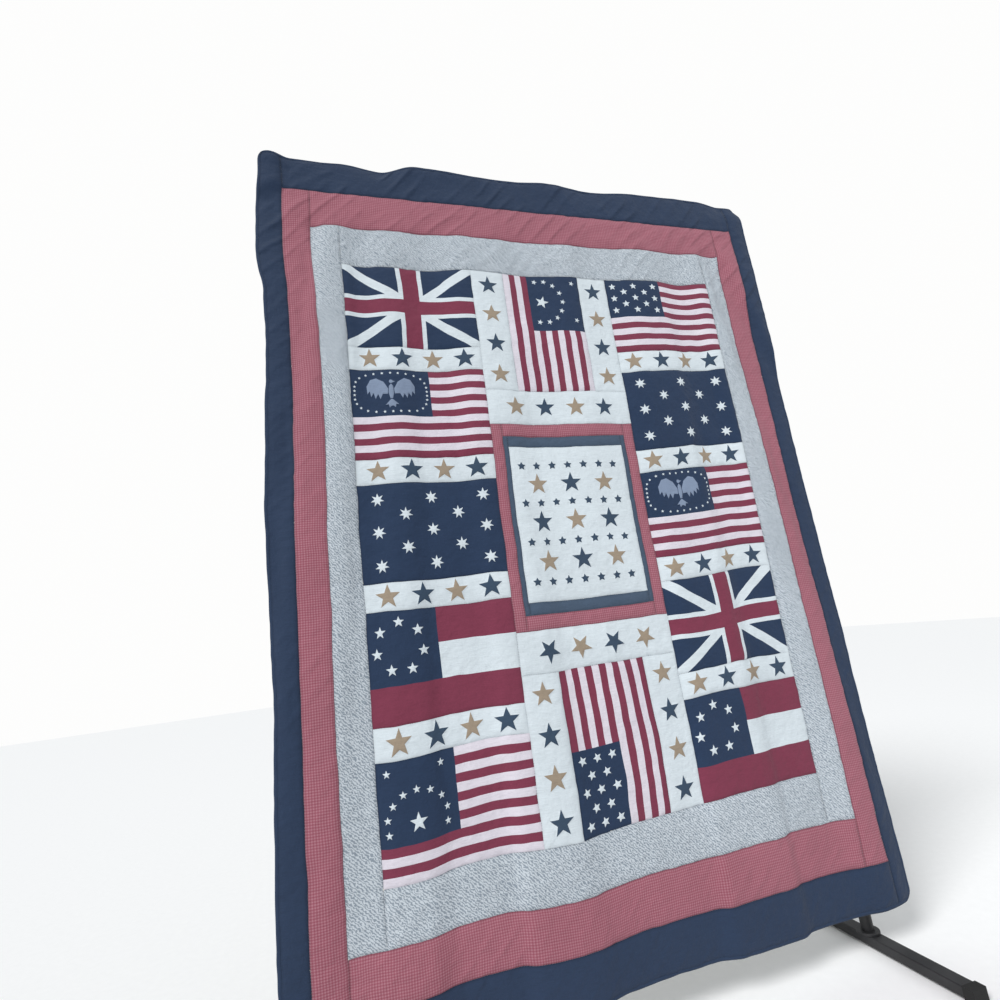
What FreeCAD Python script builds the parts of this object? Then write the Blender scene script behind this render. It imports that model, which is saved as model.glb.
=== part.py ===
"""Patchwork quilt hung on a free-standing, height-adjustable display rack.

Millimetres. +X is to the right of someone facing the quilt's front, +Y runs from the front to the
back, +Z is up. The origin is on the floor, midway between the two posts.
"""
import FreeCAD, Part
import math
import os

from FreeCAD import Vector

# ---- driving dimensions: quilt --------------------------------------------------------------
ROWS = 5
BLOCK_W, BLOCK_H = 380.0, 262.0          # one flag or star block of a side column
SASH_H = 71.0                            # star strip between two blocks
MIDDLE_W = 457.0                         # middle column
TURNED_W, TURNED_H = 251.0, 397.0        # the two flag blocks that are turned on end
WIDE_SASH_H = 107.0                      # star strips above and below the centre panel
CENTRE_GINGHAM_SIDE, CENTRE_GINGHAM_END = 32.0, 39.0
CENTRE_NAVY_SIDE, CENTRE_NAVY_END = 14.0, 32.0
PRINT_SIDE, PRINT_END = 81.0, 124.0      # innermost border: side strips, top and bottom strips
GINGHAM_SIDE, GINGHAM_END = 75.0, 116.0
NAVY_SIDE, NAVY_END = 56.0, 106.0
BINDING_W = 6.0
BINDING_PROUD = 0.6                      # how far the binding stands off each face
TOP_T, BATTING_T, BACKING_T = 0.6, 2.6, 0.6
HEM_Z = 100.0                            # lower edge of the quilt above the floor

# ---- driving dimensions: hanging rod and sleeve ---------------------------------------------
ROD_R = 15.9
ROD_Y = -36.0
ROD_DROP = 70.0                          # rod axis below the quilt's upper edge
FERRULE_R, FERRULE_HALF = 17.3, 60.0
SLEEVE_HALF = 640.0
SLEEVE_GAP = 0.3
SLEEVE_T = 0.6
SLEEVE_REACH = 45.0                      # seam lines above and below the rod axis
SPIGOT_R = 6.0
RUNNING = 0.08                           # radial clearance of a running fit
APART = 0.3                              # gap between bodies that aren't a fit

# ---- driving dimensions: rack ---------------------------------------------------------------
POST_X = 700.0
OUTER_R, OUTER_WALL = 16.0, 1.6
INNER_R, INNER_WALL = 14.2, 1.6
OUTER_TOP = 1290.0
INNER_LAP = 240.0                        # inner tube inside the outer one at this height
CRADLE_W = 24.0
CRADLE_RISE = 6.0                        # rod axis above the inner tube's end
SADDLE_R = 11.5
FOOT_L, FOOT_W, FOOT_H, FOOT_WALL = 600.0, 40.0, 25.0, 2.0
PAD_H = 6.0                              # underside of the foot bar above the floor
CAP_WALL, CAP_LAP = 2.0, 24.0
PIVOT_R = 5.0
FLANGE_R, FLANGE_T = 30.0, 6.0
TIE_Z, TIE_R, TIE_WALL = 300.0, 11.0, 1.5
BOLT_R = 4.0
COLLAR_R, COLLAR_H = 23.0, 46.0
EAR_Y, EAR_R, EAR_T = 32.0, 11.0, 9.0
SPLIT_W = 3.0
KNOB_R, KNOB_L, KNOB_LOBES = 17.0, 20.0, 5

# ---- worked-out positions -------------------------------------------------------------------
FIELD_W = 2 * BLOCK_W + MIDDLE_W
FIELD_H = ROWS * BLOCK_H + (ROWS - 1) * SASH_H
PANEL_H = FIELD_H - 2 * (TURNED_H + WIDE_SASH_H)
SIDE_STRIPS = PRINT_SIDE + GINGHAM_SIDE + NAVY_SIDE + BINDING_W
END_STRIPS = PRINT_END + GINGHAM_END + NAVY_END + BINDING_W
QUILT_W = FIELD_W + 2 * SIDE_STRIPS
QUILT_H = FIELD_H + 2 * END_STRIPS
QUILT_TOP = HEM_Z + QUILT_H
ROD_Z = QUILT_TOP - ROD_DROP
SLEEVE_R = FERRULE_R + SLEEVE_GAP
BACK_Y = ROD_Y - SLEEVE_R - SLEEVE_T     # back face of the quilt
BATTING_BACK = BACK_Y - BACKING_T
BATTING_FRONT = BATTING_BACK - BATTING_T
FRONT_Y = BATTING_FRONT - TOP_T
FIELD_X0 = -FIELD_W / 2
FIELD_TOP = QUILT_TOP - END_STRIPS
INNER_TOP = ROD_Z - CRADLE_RISE
INNER_BOTTOM = OUTER_TOP - INNER_LAP
FOOT_TOP = PAD_H + FOOT_H
FLANGE_Z = FOOT_TOP + APART
CAP_END_X = POST_X - CRADLE_W / 2 - 4.0

SIDES = {"left": -1, "right": 1}
written = []


def save(name, *solids):
    """Write one node: a single solid, or a group of separate ones."""
    shape = solids[0] if len(solids) == 1 else Part.makeCompound(list(solids))
    if not shape.isValid():
        raise ValueError(name + " is not a valid shape")
    os.makedirs("parts", exist_ok=True)
    shape.exportStep(os.path.join("parts", name + ".step"))
    written.append(name)


def box(x0, x1, y0, y1, z0, z1):
    return Part.makeBox(x1 - x0, y1 - y0, z1 - z0, Vector(x0, y0, z0))


def rod_x(x0, x1, y, z, r):
    return Part.makeCylinder(r, x1 - x0, Vector(x0, y, z), Vector(1, 0, 0))


def rod_z(x, y, z0, z1, r):
    return Part.makeCylinder(r, z1 - z0, Vector(x, y, z0), Vector(0, 0, 1))


def tube_z(x, y, z0, z1, r, wall):
    return rod_z(x, y, z0, z1, r).cut(rod_z(x, y, z0 - 1, z1 + 1, r - wall))


def along_x(wire, x0, x1):
    """Extrude a closed wire that lies in the plane x = x0."""
    return Part.Face(wire).extrude(Vector(x1 - x0, 0, 0))


# ---- quilt: pieced top ----------------------------------------------------------------------
def patch(x, down, w, h):
    """One piece of the top; x and down are measured from the patchwork field's upper left corner."""
    x0 = FIELD_X0 + x
    z1 = FIELD_TOP - down
    return box(x0, x0 + w, FRONT_Y, BATTING_FRONT, z1 - h, z1)


def border_ring(label, inset_side, inset_end, side, end):
    """Four strips of one border; the side strips run the full height of the ring."""
    x0, w = -inset_side - side, FIELD_W + 2 * (inset_side + side)
    down, h = -inset_end - end, FIELD_H + 2 * (inset_end + end)
    save(label + "_left", patch(x0, down, side, h))
    save(label + "_right", patch(x0 + w - side, down, side, h))
    save(label + "_top", patch(x0 + side, down, w - 2 * side, end))
    save(label + "_bottom", patch(x0 + side, down + h - end, w - 2 * side, end))


def frame_strips(x, down, w, h, side, end):
    """A patchwork frame of four butted strips."""
    return [
        patch(x, down, side, h),
        patch(x + w - side, down, side, h),
        patch(x + side, down, w - 2 * side, end),
        patch(x + side, down + h - end, w - 2 * side, end),
    ]


def side_columns():
    blocks = {
        "left": ["cross_flag", "bird_flag", "star_block", "ring_flag", "arch_flag"],
        "right": ["stripes_flag", "star_block", "bird_flag", "cross_flag", "ring_flag"],
    }
    pitch = BLOCK_H + SASH_H
    for side, names in blocks.items():
        x = 0.0 if side == "left" else BLOCK_W + MIDDLE_W
        for row, name in enumerate(names):
            save(name + "_" + side, patch(x, row * pitch, BLOCK_W, BLOCK_H))
        strips = [patch(x, row * pitch + BLOCK_H, BLOCK_W, SASH_H) for row in range(ROWS - 1)]
        save("star_sashes_" + side, *strips)


def middle_column():
    edge = (MIDDLE_W - TURNED_W) / 2
    x = BLOCK_W
    lower = FIELD_H - TURNED_H
    save("turned_arch_flag", patch(x + edge, 0, TURNED_W, TURNED_H))
    save("turned_stripes_flag", patch(x + edge, lower, TURNED_W, TURNED_H))
    upright = [
        patch(x + shift, down, edge, TURNED_H)
        for down in (0, lower)
        for shift in (0, edge + TURNED_W)
    ]
    save("upright_sashes", *upright)
    panel_down = TURNED_H + WIDE_SASH_H
    wide = [patch(x, down, MIDDLE_W, WIDE_SASH_H) for down in (TURNED_H, panel_down + PANEL_H)]
    save("wide_sashes", *wide)
    rings = [
        ("centre_gingham_frame", CENTRE_GINGHAM_SIDE, CENTRE_GINGHAM_END),
        ("centre_navy_frame", CENTRE_NAVY_SIDE, CENTRE_NAVY_END),
    ]
    down, w, h = panel_down, MIDDLE_W, PANEL_H
    for name, side, end in rings:
        save(name, *frame_strips(x, down, w, h, side, end))
        x += side
        down += end
        w -= 2 * side
        h -= 2 * end
    save("centre_star_panel", patch(x, down, w, h))


def quilt_layers():
    x1 = QUILT_W / 2 - BINDING_W
    z0, z1 = HEM_Z + BINDING_W, QUILT_TOP - BINDING_W
    save("batting", box(-x1, x1, BATTING_FRONT, BATTING_BACK, z0, z1))
    save("backing", box(-x1, x1, BATTING_BACK, BACK_Y, z0, z1))
    front, back = FRONT_Y - BINDING_PROUD, BACK_Y + BINDING_PROUD
    outer = box(-QUILT_W / 2, QUILT_W / 2, front, back, HEM_Z, QUILT_TOP)
    save("binding", outer.cut(box(-x1, x1, front - 1, back + 1, z0, z1)))


def borders():
    border_ring("print_border", 0, 0, PRINT_SIDE, PRINT_END)
    border_ring("gingham_border", PRINT_SIDE, PRINT_END, GINGHAM_SIDE, GINGHAM_END)
    inset_side, inset_end = PRINT_SIDE + GINGHAM_SIDE, PRINT_END + GINGHAM_END
    border_ring("navy_border", inset_side, inset_end, NAVY_SIDE, NAVY_END)


# ---- hanging sleeve and rod -----------------------------------------------------------------
def sleeve_profile(x, r, flat_y, reach):
    """A round back and two straight runs that meet the quilt's back above and below the rod."""
    turn = 2 * math.atan2(r, reach)
    touch_y = ROD_Y - r * math.cos(math.pi - turn)
    touch_z = r * math.sin(math.pi - turn)
    top = Vector(x, flat_y, ROD_Z + reach)
    bottom = Vector(x, flat_y, ROD_Z - reach)
    upper = Vector(x, touch_y, ROD_Z + touch_z)
    lower = Vector(x, touch_y, ROD_Z - touch_z)
    arc = Part.Arc(upper, Vector(x, ROD_Y + r, ROD_Z), lower).toShape()
    straight = [(lower, bottom), (bottom, top), (top, upper)]
    edges = [arc] + [Part.LineSegment(a, b).toShape() for a, b in straight]
    return Part.Wire(edges)


def hanging_sleeve():
    outer = sleeve_profile(-SLEEVE_HALF, SLEEVE_R + SLEEVE_T, BACK_Y, SLEEVE_REACH)
    inner = sleeve_profile(-SLEEVE_HALF - 1, SLEEVE_R, BACK_Y + SLEEVE_T, SLEEVE_REACH - 3)
    tube = along_x(outer, -SLEEVE_HALF, SLEEVE_HALF)
    hollow = along_x(inner, -SLEEVE_HALF - 1, SLEEVE_HALF + 1)
    save("hanging_sleeve", tube.cut(hollow))


def hanging_rod():
    end_wall = 6.0
    rod_end = CAP_END_X - end_wall
    meet = 0.1
    save("rod_left_half", rod_x(-rod_end, -meet, ROD_Y, ROD_Z, ROD_R))
    save("rod_right_half", rod_x(meet, rod_end, ROD_Y, ROD_Z, ROD_R))
    ferrule = rod_x(-FERRULE_HALF, FERRULE_HALF, ROD_Y, ROD_Z, FERRULE_R)
    bore = rod_x(-FERRULE_HALF - 1, FERRULE_HALF + 1, ROD_Y, ROD_Z, ROD_R + 0.05)
    save("rod_ferrule", ferrule.cut(bore))
    save("rod_end_fittings", end_fitting(-1, rod_end), end_fitting(1, rod_end))


def end_fitting(side, rod_end):
    """A cup over the rod's end, a spigot that lies in the cradle, and a disc outside the cradle."""
    cup_l, disc_r, disc_t = 30.0, 10.0, 5.0
    disc_x = POST_X + CRADLE_W / 2 + 4.0
    cup = rod_x(CAP_END_X - cup_l, CAP_END_X, ROD_Y, ROD_Z, FERRULE_R)
    cup = cup.cut(rod_x(CAP_END_X - cup_l - 1, rod_end, ROD_Y, ROD_Z, ROD_R + 0.05))
    spigot = rod_x(CAP_END_X - 1, disc_x + disc_t, ROD_Y, ROD_Z, SPIGOT_R)
    disc = rod_x(disc_x, disc_x + disc_t, ROD_Y, ROD_Z, disc_r)
    disc = disc.makeChamfer(1.0, disc.Edges)
    fitting = cup.fuse(spigot).fuse(disc).removeSplitter()
    if side < 0:
        fitting = fitting.mirror(Vector(0, 0, 0), Vector(1, 0, 0))
    return fitting


# ---- rack -----------------------------------------------------------------------------------
def outer_post(x):
    z0 = FLANGE_Z + FLANGE_T
    flange = rod_z(x, 0, FLANGE_Z, z0, FLANGE_R)
    flange = flange.makeChamfer(1.2, [e for e in flange.Edges if e.BoundBox.ZMin > z0 - 0.1])
    plug = rod_z(x, 0, z0 - 1, z0 + 24, OUTER_R - OUTER_WALL + 0.2)
    tube = tube_z(x, 0, z0 - 1, OUTER_TOP, OUTER_R, OUTER_WALL)
    post = flange.fuse(plug).fuse(tube)
    post = post.cut(rod_z(x, 0, FLANGE_Z - 1, z0 + 30, PIVOT_R + 0.05))
    return post.cut(rod_x(x - 30, x + 30, 0, TIE_Z, BOLT_R + 0.05)).removeSplitter()


def inner_post(x):
    return tube_z(x, 0, INNER_BOTTOM, INNER_TOP, INNER_R, INNER_WALL)


def post_guide(x):
    """Nylon plug in the inner tube's lower end, which slides in the outer tube."""
    head = rod_z(x, 0, INNER_BOTTOM - 10, INNER_BOTTOM, OUTER_R - OUTER_WALL - RUNNING)
    head = head.makeChamfer(1.5, [e for e in head.Edges if e.BoundBox.ZMax < INNER_BOTTOM - 9])
    spigot = rod_z(x, 0, INNER_BOTTOM - 1, INNER_BOTTOM + 20, INNER_R - INNER_WALL)
    return head.fuse(spigot).removeSplitter()


def collar(x):
    """Split clamp collar on the outer tube, with two ears behind the post."""
    lip = 14.0
    z0, z1 = OUTER_TOP + lip - COLLAR_H, OUTER_TOP + lip
    mid = (z0 + z1) / 2
    body = rod_z(x, 0, z0, z1, COLLAR_R)
    half = SPLIT_W / 2 + EAR_T
    ears = rod_x(x - half, x + half, EAR_Y, mid, EAR_R)
    web = box(x - half, x + half, 10, EAR_Y, mid - EAR_R, mid + EAR_R)
    shape = body.fuse(ears).fuse(web)
    rims = [e for e in body.Edges if e.BoundBox.ZLength < 0.1 and e.BoundBox.XLength > COLLAR_R]
    shape = shape.cut(body).fuse(body.makeFillet(2.0, rims))
    shape = shape.cut(rod_z(x, 0, z0 - 1, OUTER_TOP, OUTER_R + 0.05))
    shape = shape.cut(rod_z(x, 0, OUTER_TOP - 1, z1 + 1, INNER_R + RUNNING))
    split = box(x - SPLIT_W / 2, x + SPLIT_W / 2, 8, EAR_Y + EAR_R + 1, z0 - 1, z1 + 1)
    shape = shape.cut(split)
    bore = rod_x(x - half - 1, x + half + 1, EAR_Y, mid, BOLT_R + 0.05)
    return shape.cut(bore).removeSplitter(), mid


def hexagon_x(x0, x1, y, z, across):
    r = across / math.sqrt(3)
    turns = [math.radians(60 * k) for k in range(7)]
    points = [Vector(x0, y + r * math.cos(a), z + r * math.sin(a)) for a in turns]
    return along_x(Part.makePolygon(points), x0, x1)


def hexagon_z(x, y, z0, z1, across):
    r = across / math.sqrt(3)
    turns = [math.radians(60 * k) for k in range(7)]
    points = [Vector(x + r * math.cos(a), y + r * math.sin(a), z0) for a in turns]
    return Part.Face(Part.makePolygon(points)).extrude(Vector(0, 0, z1 - z0))


def clamp_stud(x, side, z):
    """Fixed stud through both ears: a hex head inboard, thread for the knob outboard."""
    half = SPLIT_W / 2 + EAR_T
    head_t, reach = 5.0, 16.0
    inner, outer = x - side * (half + head_t), x - side * half
    head = hexagon_x(min(inner, outer), max(inner, outer), EAR_Y, z, 13.0)
    tip = x + side * (half + APART + reach)
    shank = rod_x(min(outer, tip), max(outer, tip), EAR_Y, z, BOLT_R)
    return head.fuse(shank).removeSplitter()


def clamp_knob(x, side, z):
    """Lobed knob that screws along the stud."""
    near = x + side * (SPLIT_W / 2 + EAR_T + APART)
    hub_l = 6.0
    x0, x1 = (near, near + KNOB_L) if side > 0 else (near - KNOB_L, near)
    hub = rod_x(x0, x1, EAR_Y, z, KNOB_R * 0.55)
    g0, g1 = (near + hub_l, near + KNOB_L) if side > 0 else (near - KNOB_L, near - hub_l)
    grip = rod_x(g0, g1, EAR_Y, z, KNOB_R)
    for k in range(KNOB_LOBES):
        a = 2 * math.pi * k / KNOB_LOBES
        y = EAR_Y + 1.15 * KNOB_R * math.cos(a)
        grip = grip.cut(rod_x(g0 - 1, g1 + 1, y, z + 1.15 * KNOB_R * math.sin(a), KNOB_R * 0.36))
    grip = grip.makeFillet(2.0, [e for e in grip.Edges if e.BoundBox.XLength > 1])
    grip = grip.makeFillet(1.2, [e for e in grip.Edges if e.BoundBox.XLength < 0.1])
    bore_end = near + side * 17.0
    bore = rod_x(min(near - side, bore_end), max(near - side, bore_end), EAR_Y, z, BOLT_R + RUNNING)
    return hub.fuse(grip).cut(bore).removeSplitter()


def cradle(x):
    """Cap on the inner tube's end with an arm that holds the open saddle for the rod's spigot."""
    cap_r, cap_top = 18.0, INNER_TOP + 5.0
    x0, x1 = x - CRADLE_W / 2, x + CRADLE_W / 2
    cap = rod_z(x, 0, INNER_TOP - 28, cap_top, cap_r)
    cap = cap.makeFillet(2.5, [e for e in cap.Edges if e.BoundBox.ZMin > cap_top - 0.1])
    profile = [
        (ROD_Y - SADDLE_R, ROD_Z + 7),
        (ROD_Y - SADDLE_R, ROD_Z - 3),
        (ROD_Y - 6, ROD_Z - 15),
        (-12, INNER_TOP - 26),
        (-8, INNER_TOP - 26),
        (-8, INNER_TOP + 1),
        (ROD_Y + SADDLE_R, INNER_TOP + 1),
        (ROD_Y + SADDLE_R, ROD_Z + 11),
        (ROD_Y + SPIGOT_R + 1, ROD_Z + 11),
        (ROD_Y - SPIGOT_R - 1, ROD_Z + 7),
        (ROD_Y - SADDLE_R, ROD_Z + 7),
    ]
    arm = along_x(Part.makePolygon([Vector(x0, y, z) for y, z in profile]), x0, x1)
    r = SPIGOT_R + APART
    seat = rod_x(x0 - 1, x1 + 1, ROD_Y, ROD_Z, r)
    mouth = box(x0 - 1, x1 + 1, ROD_Y - r, ROD_Y + r, ROD_Z, ROD_Z + 20)
    bore = rod_z(x, 0, INNER_TOP - 29, INNER_TOP, INNER_R + 0.05)
    return cap.fuse(arm).cut(seat).cut(mouth).cut(bore).removeSplitter()


def foot_bar(x):
    w, half = FOOT_W / 2, FOOT_L / 2 - CAP_WALL
    bar = box(x - w, x + w, -half, half, PAD_H, FOOT_TOP)
    bar = bar.makeFillet(3.0, [e for e in bar.Edges if e.BoundBox.YLength > half])
    inside = w - FOOT_WALL
    hollow = box(x - inside, x + inside, -half - 1, half + 1, PAD_H + FOOT_WALL, FOOT_TOP - FOOT_WALL)
    return bar.cut(hollow).cut(rod_z(x, 0, PAD_H - 1, FOOT_TOP + 1, PIVOT_R + RUNNING))


def foot_cap(x, end):
    """Rubber cup over one end of the foot bar, with a thick sole."""
    w = FOOT_W / 2
    outside = FOOT_L / 2
    y0, y1 = outside - CAP_WALL - CAP_LAP, outside
    cap = box(x - w - CAP_WALL, x + w + CAP_WALL, y0, y1, 0, FOOT_TOP + CAP_WALL)
    rounded = [e for e in cap.Edges if e.BoundBox.YMin > y0 + 1 and e.BoundBox.ZMax > 1]
    cap = cap.makeFillet(1.8, rounded)
    socket = box(x - w, x + w, y0 - 1, outside - CAP_WALL, PAD_H, FOOT_TOP)
    socket = socket.makeFillet(3.0, [e for e in socket.Edges if e.BoundBox.YLength > CAP_LAP])
    cap = cap.cut(socket)
    if end < 0:
        cap = cap.mirror(Vector(0, 0, 0), Vector(0, 1, 0))
    return cap


def pivot_bolt(x):
    head = hexagon_z(x, 0, 1.2, PAD_H - 0.1, 16.0)
    return head.fuse(rod_z(x, 0, 3, FLANGE_Z + FLANGE_T + 22, PIVOT_R)).removeSplitter()


def tie_bar():
    end_x, plug_l = POST_X - OUTER_R + 6, 40.0
    bar = rod_x(-end_x, end_x, 0, TIE_Z, TIE_R)
    bar = bar.cut(rod_x(plug_l - end_x, end_x - plug_l, 0, TIE_Z, TIE_R - TIE_WALL))
    for side in SIDES.values():
        bar = bar.cut(rod_z(side * POST_X, 0, TIE_Z - 20, TIE_Z + 20, OUTER_R))
        tip = side * (POST_X - 50)
        bar = bar.cut(rod_x(min(tip, side * POST_X), max(tip, side * POST_X), 0, TIE_Z, BOLT_R + 0.05))
    return bar


def tie_bolt(side):
    """Bolt through the post into the tie bar's end plug, with a dished washer against the tube."""
    face, head_t, washer_t = POST_X + OUTER_R, 5.5, 4.0
    washer = rod_x(face - 3, face + washer_t, 0, TIE_Z, 9.0).cut(rod_z(POST_X, 0, 0, 600, OUTER_R))
    head = hexagon_x(face + washer_t, face + washer_t + head_t, 0, TIE_Z, 13.0)
    shank = rod_x(POST_X - 46, face + washer_t + 1, 0, TIE_Z, BOLT_R)
    bolt = washer.fuse(head).fuse(shank).removeSplitter()
    if side < 0:
        bolt = bolt.mirror(Vector(0, 0, 0), Vector(1, 0, 0))
    return bolt


def rack():
    studs = []
    for name, side in SIDES.items():
        x = side * POST_X
        save("outer_post_" + name, outer_post(x))
        save("inner_post_" + name, inner_post(x))
        save("post_guide_" + name, post_guide(x))
        ring, stud_z = collar(x)
        save("clamp_collar_" + name, ring)
        studs.append(clamp_stud(x, side, stud_z))
        save("clamp_knob_" + name, clamp_knob(x, side, stud_z))
        save("rod_cradle_" + name, cradle(x))
        save("foot_bar_" + name, foot_bar(x))
        save("foot_caps_" + name, foot_cap(x, -1), foot_cap(x, 1))
    save("clamp_studs", *studs)
    save("foot_pivot_bolts", *[pivot_bolt(side * POST_X) for side in SIDES.values()])
    save("tie_bar", tie_bar())
    save("tie_bar_bolts", *[tie_bolt(side) for side in SIDES.values()])


quilt_layers()
borders()
side_columns()
middle_column()
hanging_sleeve()
hanging_rod()
rack()
print(len(written), "nodes")
print("quilt", QUILT_W, "x", QUILT_H, "mm, upper edge at", QUILT_TOP)
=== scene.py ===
"""Looks of a patchwork quilt that hangs by its sleeve on a free-standing display rack.

Metres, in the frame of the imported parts: +X to the right of someone facing the quilt's front,
+Y from front to back, +Z up. A flat place (x, z) is a point of the quilt before it hangs, and a
rectangle is (x low, x high, z low, z high).
"""

import math

import bpy
import numpy as np
from mathutils import Matrix, Vector
from mathutils.geometry import delaunay_2d_cdt


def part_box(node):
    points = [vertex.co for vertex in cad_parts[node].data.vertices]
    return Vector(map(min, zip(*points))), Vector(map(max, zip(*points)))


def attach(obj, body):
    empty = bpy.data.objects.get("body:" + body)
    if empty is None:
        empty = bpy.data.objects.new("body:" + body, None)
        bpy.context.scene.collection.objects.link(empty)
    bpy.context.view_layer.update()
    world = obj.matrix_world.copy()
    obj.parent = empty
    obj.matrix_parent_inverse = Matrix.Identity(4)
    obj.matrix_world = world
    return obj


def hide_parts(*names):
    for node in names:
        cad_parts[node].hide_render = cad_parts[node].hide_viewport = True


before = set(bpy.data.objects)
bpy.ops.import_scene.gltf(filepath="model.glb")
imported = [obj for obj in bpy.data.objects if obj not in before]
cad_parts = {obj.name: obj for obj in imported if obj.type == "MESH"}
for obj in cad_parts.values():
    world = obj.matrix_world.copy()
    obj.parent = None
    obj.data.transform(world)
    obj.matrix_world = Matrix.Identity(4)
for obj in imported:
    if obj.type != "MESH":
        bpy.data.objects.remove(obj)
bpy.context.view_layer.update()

# ---- driving sizes: layers of the quilt -----------------------------------------------------
SEAM_HALF = 0.0012               # half the quilt's thickness where it is stitched through
CLOTH_T = 0.0005                 # thickness of one layer of cotton
PILLOW = 0.0048                  # how far the top swells between seams
BACK_PILLOW = 0.0008
SEAM_REACH, WIDE_REACH = 0.006, 0.034
PAINTED_SHADE_REACH = 0.0032              # reach of the painted shade that darkens the cloth along a seam
PUCKER, PUCKER_REACH = 0.0012, 0.026
PUCKER_PITCH, PUCKER_LENGTH = 0.015, 0.085
UNDULATION, UNDULATION_PITCH = 0.0018, 0.050
FOLD, FOLD_PITCH = 0.0030, 0.070         # the slanting creases of the borders
TOP_STEP, BACK_STEP, BATTING_STEP = 0.0060, 0.011, 0.012
EDGE_STEPS = (0.0, 0.0018, 0.0045, 0.009)
APPLIQUE = 0.0006                # an appliqued shape stands this far off its ground
APPLIQUE_RIM = 0.0011
STITCH_PITCH, STITCH_LENGTH, STITCH_WIDTH = 0.0060, 0.0038, 0.0006

# ---- driving sizes: how it hangs ------------------------------------------------------------
DRAPE_STEP = 0.025
DRAPE_LIMIT = 0.009              # the most that a fold stands forward or back
SLACK = 0.010                    # extra width and length that makes the folds
SETTLE_FRAMES = 45
CLOTH_SETTINGS = {
    "quality": 6, "mass": 0.4, "air_damping": 2.0, "tension_stiffness": 20.0,
    "compression_stiffness": 20.0, "shear_stiffness": 8.0, "bending_stiffness": 4.0,
    "vertex_group_mass": "held", "pin_stiffness": 1.0,
    "shrink_min": -SLACK, "shrink_max": -SLACK,
}
SLOPE_REACH = 0.003              # half the distance over which the cloth's slope is taken
WOBBLE = ((0.0021, 0.21, 11), (0.0013, 0.070, 12), (0.0008, 0.028, 13))  # size, pitch, seed
CORNER, CORNER_REACH = 0.011, 0.034      # how far a corner is rounded off, and from how far
SAG, SAG_REACH = 0.012, (0.14, 0.34)     # the top hangs lower round the foot of a middle block
SAG_ASIDE = 0.005                # and a little to the right
WIDER_FOOT, FOOT_REACH = 0.014, (0.12, 0.23)     # the foot's right side is drawn out as well
FOOT_SIDE = (-0.03, 0.13)        # where it is drawn out most, from its lower right corner
TILT = (0.009, -0.012)           # how far the upper seams are raised at the left and right ends
TILT_FADES = (0.68, 0.75)        # they lie below the first share of the upper borders' height
TOP_EDGE = (                     # x, and how far the upper edge stands up or leans forward
    (-0.827, 0.018), (-0.800, 0.017), (-0.740, 0.006), (-0.654, 0.003), (-0.600, 0.005),
    (-0.474, -0.012), (-0.375, 0.021), (-0.070, 0.003), (0.068, 0.011), (0.240, -0.009),
    (0.415, 0.001), (0.640, -0.002), (0.799, -0.028), (0.827, -0.036),
)
LEFT_EDGE = (                    # z, and how far the left edge is drawn in towards the middle
    (0.10, -0.004), (0.60, -0.005), (0.90, 0.001), (1.30, -0.008), (1.60, -0.001),
    (1.83, 0.007), (1.95, 0.004), (2.08, -0.013), (2.20, -0.011), (2.35, 0.000),
)
LEFT_SEAMS = (                   # the same for the two seams of the left borders
    (0.10, 0.000), (0.85, -0.003), (1.20, 0.003), (1.55, 0.008), (1.80, 0.007), (2.20, 0.000),
)


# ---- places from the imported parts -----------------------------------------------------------
def rect_of(node):
    """A node's rectangle."""
    low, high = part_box(node)
    return (low.x, high.x, low.z, high.z)


def solids_of(node):
    """The rectangles of a node's separate solids, from the top down, then left to right."""
    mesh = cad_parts[node].data
    keys = [tuple(round(c, 5) for c in v.co) for v in mesh.vertices]
    solids = []
    for face in mesh.polygons:
        points = {keys[i] for i in face.vertices}
        touching = [solid for solid in solids if solid & points]
        solids = [solid for solid in solids if not solid & points]
        solids.append(points.union(*touching))
    rects = []
    for points in solids:
        xs, _, zs = zip(*points)
        rects.append((min(xs), max(xs), min(zs), max(zs)))
    return sorted(rects, key=lambda r: (-round(r[3], 3), r[0]))


QUILT = rect_of("binding")
BODY = rect_of("backing")
FIELD = (
    rect_of("cross_flag_left")[0], rect_of("stripes_flag_right")[1],
    rect_of("arch_flag_left")[2], rect_of("cross_flag_left")[3],
)
MID_Y = (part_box("cross_flag_left")[0].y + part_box("backing")[1].y) / 2
BACK_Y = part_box("backing")[1].y
ROD_LOW, ROD_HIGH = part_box("rod_ferrule")
ROD_Y = (ROD_LOW.y + ROD_HIGH.y) / 2
ROD_Z = (ROD_LOW.z + ROD_HIGH.z) / 2
SLEEVE = rect_of("hanging_sleeve")
CRADLE_X = rect_of("rod_cradle_right")[1]
MID_X, MID_Z = (QUILT[0] + QUILT[1]) / 2, (QUILT[2] + QUILT[3]) / 2
PRINT_W = FIELD[0] - rect_of("print_border_left")[0]
BORDERS_W = FIELD[0] - QUILT[0]
BLOCK_W = rect_of("cross_flag_left")[1] - FIELD[0]
FOOT = rect_of("turned_stripes_flag")
RING_LEFT, CROSS_RIGHT = rect_of("ring_flag_left"), rect_of("cross_flag_right")
LEFT_DROP = (                    # z, and how far the left column hangs down
    (QUILT[2] + 0.1, 0.0), (FIELD[2], 0.0165), (rect_of("arch_flag_left")[3], 0.0165),
    (RING_LEFT[2], 0.012), (RING_LEFT[3], 0.0),
)
DROP_ENDS = (FIELD[0] + 0.03, FIELD[0] + 1.08 * BLOCK_W)     # x where it starts to fade, and ends
RIGHT_RISE = (                   # z, and how far the right column is drawn up
    (QUILT[2] + 0.02, 0.0), (FIELD[2], 0.017), (CROSS_RIGHT[3], 0.018),
    (rect_of("star_block_right")[3], 0.010), (FIELD[3], 0.0),
)
RISE_WIDTHS = (0.80, 1.26)       # it starts this many block widths in, at the top and at the foot
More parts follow.
